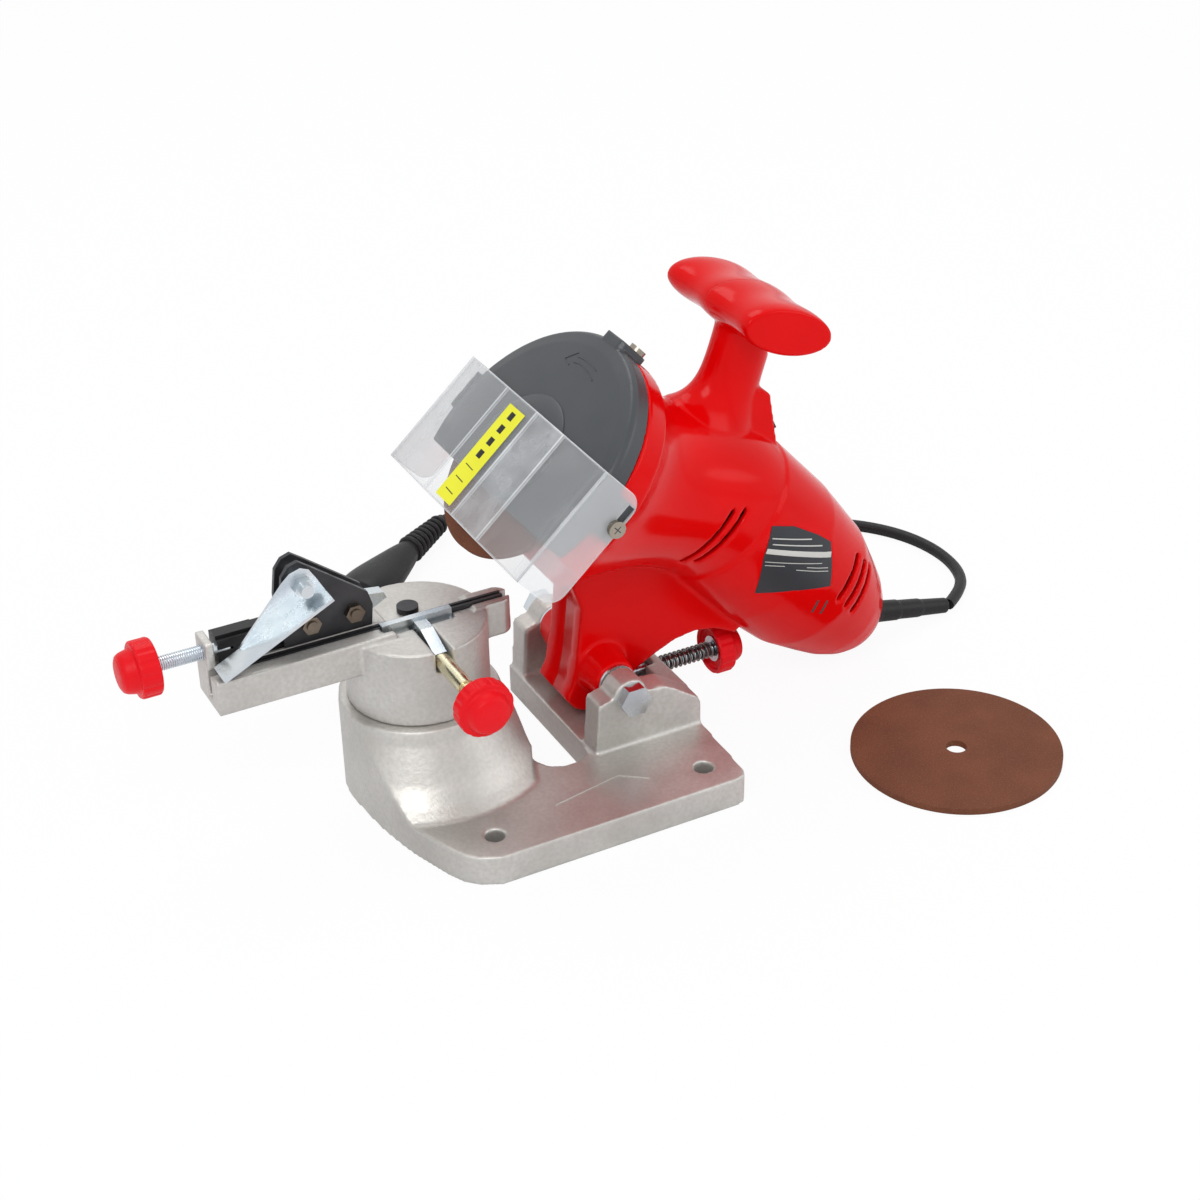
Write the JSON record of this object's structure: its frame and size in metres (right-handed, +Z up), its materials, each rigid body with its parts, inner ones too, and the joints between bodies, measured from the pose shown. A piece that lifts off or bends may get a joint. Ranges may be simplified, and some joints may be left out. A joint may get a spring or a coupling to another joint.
{
  "type": "electric chain sharpener",
  "caption": "Bench-top electric chain grinder: tilting motor head with guarded abrasive wheel and clear visor over a swivelling chain vise on a cast base, with a spare wheel and a corded plug.",
  "frame": {"origin": "On the bench plane straight below the head's pivot axis, on the mid-plane of the head.", "axes": "X runs from the vise to the motor's rear, Y from the operator's side to the far side, Z up."},
  "size_m": [0.4659, 0.3741, 0.215],
  "materials": {
    "cast_aluminium": "as-cast satin",
    "red_shell": "gloss",
    "red_knob": "semi-gloss",
    "guard_black": "satin",
    "clear_visor": "clear polycarbonate",
    "abrasive": "matte bonded grit",
    "zinc_steel": "bright zinc",
    "yellow_zinc": "yellow zinc",
    "dark_steel": "black oxide",
    "spring_steel": "oiled",
    "black_plastic": "satin",
    "cord_rubber": "matte",
    "bearing_steel": "polished",
    "copper": "machined",
    "carbon": "matte",
    "plate_grey": "printed foil",
    "motor_steel": "laminated"
  },
  "bodies": {
    "base": {"base_casting": "cast_aluminium", "pivot_bolt": "zinc_steel", "pivot_nut": "zinc_steel", "pivot_washers": "zinc_steel", "head_return_spring": "spring_steel", "depth_stop_spring": "spring_steel", "power_cord": "cord_rubber", "cord_coil": "cord_rubber", "cord_tie": "black_plastic", "plug_body": "cord_rubber", "plug_pins": "bearing_steel"},
    "vise": {"vise_casting": "cast_aluminium", "vise_spindle": "zinc_steel", "rail_screw": "dark_steel", "rail_front_plate": "dark_steel", "rail_back_plate": "dark_steel", "clamp_sleeve": "yellow_zinc"},
    "lock": {"vise_lock_knob": "red_knob"},
    "jaw": {"clamp_jaw": "zinc_steel"},
    "clamp": {"clamp_screw": "yellow_zinc", "clamp_knob": "red_knob"},
    "stop": {"stop_slider": "black_plastic", "stop_plate_near": "dark_steel", "stop_plate_far": "dark_steel", "stop_bolts": "zinc_steel", "stop_nuts": "zinc_steel", "lever_pin": "zinc_steel"},
    "adjuster": {"adjuster_screw": "zinc_steel", "adjuster_knob": "red_knob"},
    "lever": {"stop_lever": "zinc_steel"},
    "pawl": {"chain_pawl": "zinc_steel"},
    "head": {"housing_near": "red_shell", "housing_far": "red_shell", "housing_screws": "dark_steel", "rating_plate": "plate_grey", "guard_cover": "guard_black", "guard_screws": "zinc_steel", "arbor_bearings": "bearing_steel", "motor_bearings": "bearing_steel", "stator": "motor_steel", "carbon_brushes": "carbon", "switch_body": "black_plastic", "strain_relief": "cord_rubber"},
    "rocker": {"switch_rocker": "black_plastic"},
    "visor": {"visor": "clear_visor"},
    "arbor": {"arbor_shaft": "bearing_steel", "spur_gear": "motor_steel", "flange_inner": "zinc_steel", "flange_outer": "zinc_steel", "arbor_nut": "zinc_steel", "grinding_wheel": "abrasive"},
    "armature": {"armature_core": "motor_steel", "motor_shaft": "bearing_steel", "commutator": "copper", "cooling_fan": "black_plastic"},
    "depth_washer": {"depth_stop_washer": "zinc_steel"},
    "depth_screw": {"depth_stop_screw": "zinc_steel", "depth_stop_knob": "red_knob"},
    "spare": {"spare_wheel": "abrasive"}
  },
  "joints": [
    {"name": "vise_swivel", "type": "hinge", "parent": "base", "child": "vise", "pos_m": [-0.0864, 0, 0.05], "axis": [0, 0, 1], "range_deg": [-30, 30]},
    {"name": "lock_turn", "type": "hinge", "parent": "vise", "child": "lock", "pos_m": [-0.0864, 0, 0.03], "axis": [0, 0, 1], "range_deg": [0, 180]},
    {"name": "jaw_slide", "type": "slide", "parent": "vise", "child": "jaw", "axis": [0, -1, 0], "range_m": [0, 0.0016]},
    {"name": "clamp_turn", "type": "hinge", "parent": "jaw", "child": "clamp", "pos_m": [-0.0864, -0.05, 0.08], "axis": [0, -1, 0], "range_deg": [0, 540]},
    {"name": "stop_slide", "type": "slide", "parent": "vise", "child": "stop", "axis": [1, 0, 0], "range_m": [0, 0.006]},
    {"name": "adjuster_turn", "type": "hinge", "parent": "stop", "child": "adjuster", "pos_m": [-0.19, 0.004, 0.0965], "axis": [1, 0, 0], "range_deg": [0, 1460]},
    {"name": "lever_turn", "type": "hinge", "parent": "stop", "child": "lever", "pos_m": [-0.1394, -0.006, 0.1218], "axis": [0, 1, 0], "range_deg": [0, 45]},
    {"name": "pawl_turn", "type": "hinge", "parent": "stop", "child": "pawl", "pos_m": [-0.1148, 0.006, 0.098], "axis": [0, -1, 0], "range_deg": [0, 30]},
    {"name": "head_tilt", "type": "hinge", "parent": "base", "child": "head", "pos_m": [0, 0, 0.0415], "axis": [0, -1, 0], "range_deg": [0, 11], "stiffness_Nm_per_rad": 0.4, "springref_deg": -28.65},
    {"name": "rocker_tilt", "type": "hinge", "parent": "head", "child": "rocker", "pos_m": [0.09577, 0, 0.14281], "axis": [0, 1, 0], "range_deg": [0, 6]},
    {"name": "visor_slide", "type": "slide", "parent": "head", "child": "visor", "axis": [-0.7431, 0, -0.6691], "range_m": [0, 0.009]},
    {"name": "arbor_spin", "type": "hinge", "parent": "head", "child": "arbor", "pos_m": [-0.0249, 0, 0.1509], "axis": [-0.6691, 0, 0.7431], "continuous": true},
    {"name": "armature_spin", "type": "hinge", "parent": "head", "child": "armature", "pos_m": [0.071, 0, 0.10268], "axis": [-0.6691, 0, 0.7431], "continuous": true},
    {"name": "depth_slide", "type": "slide", "parent": "base", "child": "depth_washer", "axis": [1, 0, 0], "range_m": [0, 0.0011]},
    {"name": "depth_turn", "type": "hinge", "parent": "depth_washer", "child": "depth_screw", "pos_m": [0.05, 0, 0.0215], "axis": [1, 0, 0], "range_deg": [0, 360]},
    {"name": "spare_lift", "type": "slide", "parent": "base", "child": "spare", "axis": [0, 0, 1], "range_m": [0, 0.08]}
  ],
  "couplings": [
    {"joint": "jaw_slide", "follows": "clamp_turn", "m_per_rad": 0.00015915},
    {"joint": "adjuster_turn", "follows": "stop_slide", "rad_per_m": 4188.8},
    {"joint": "armature_spin", "follows": "arbor_spin", "ratio": -3.3333},
    {"joint": "depth_slide", "follows": "depth_turn", "m_per_rad": 0.00015915}
  ]
}
